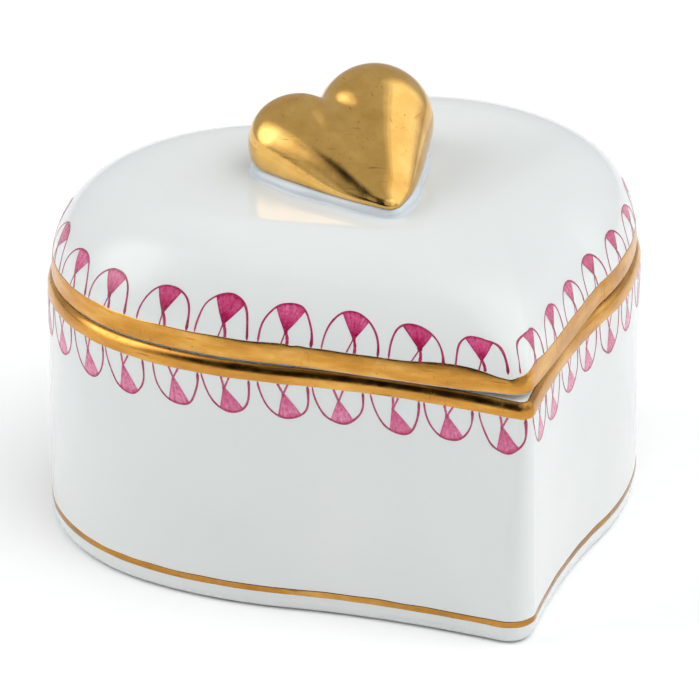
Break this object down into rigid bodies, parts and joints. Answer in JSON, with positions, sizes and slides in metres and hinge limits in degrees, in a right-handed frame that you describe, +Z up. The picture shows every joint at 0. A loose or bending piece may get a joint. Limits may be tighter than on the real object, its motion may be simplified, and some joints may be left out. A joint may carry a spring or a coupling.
{
  "type": "trinket box",
  "caption": "Heart-shaped porcelain trinket box with a lift-off domed lid, gilded rims and a gilded heart knob.",
  "frame": {"origin": "centre of the box's plan outline, on the plane that the foot stands on", "axes": "+Z up, the way the lid lifts off; the tip of the heart points along -Y and the two lobes lie side by side at +Y; +X is to the right seen from the tip"},
  "size_m": [0.066, 0.0655, 0.0499],
  "materials": {
    "glazed_porcelain": "clear gloss glaze over white porcelain",
    "burnished_gold": "burnished fired gold",
    "gilded_porcelain": "porcelain gilded all over, burnished",
    "raspberry_enamel": "fired overglaze enamel, glossy"
  },
  "bodies": {
    "base": {"base_body": "glazed_porcelain", "base_rim_gilding": "burnished_gold", "foot_line_gilding": "burnished_gold"},
    "lid": {"lid_shell": "glazed_porcelain", "lid_rim_gilding": "burnished_gold", "knob_pad": "glazed_porcelain", "knob_heart": "gilded_porcelain"}
  },
  "joints": [
    {"name": "lid_lift", "type": "slide", "parent": "base", "child": "lid", "axis": [0, 0, 1], "range_m": [0, 0.04]}
  ]
}
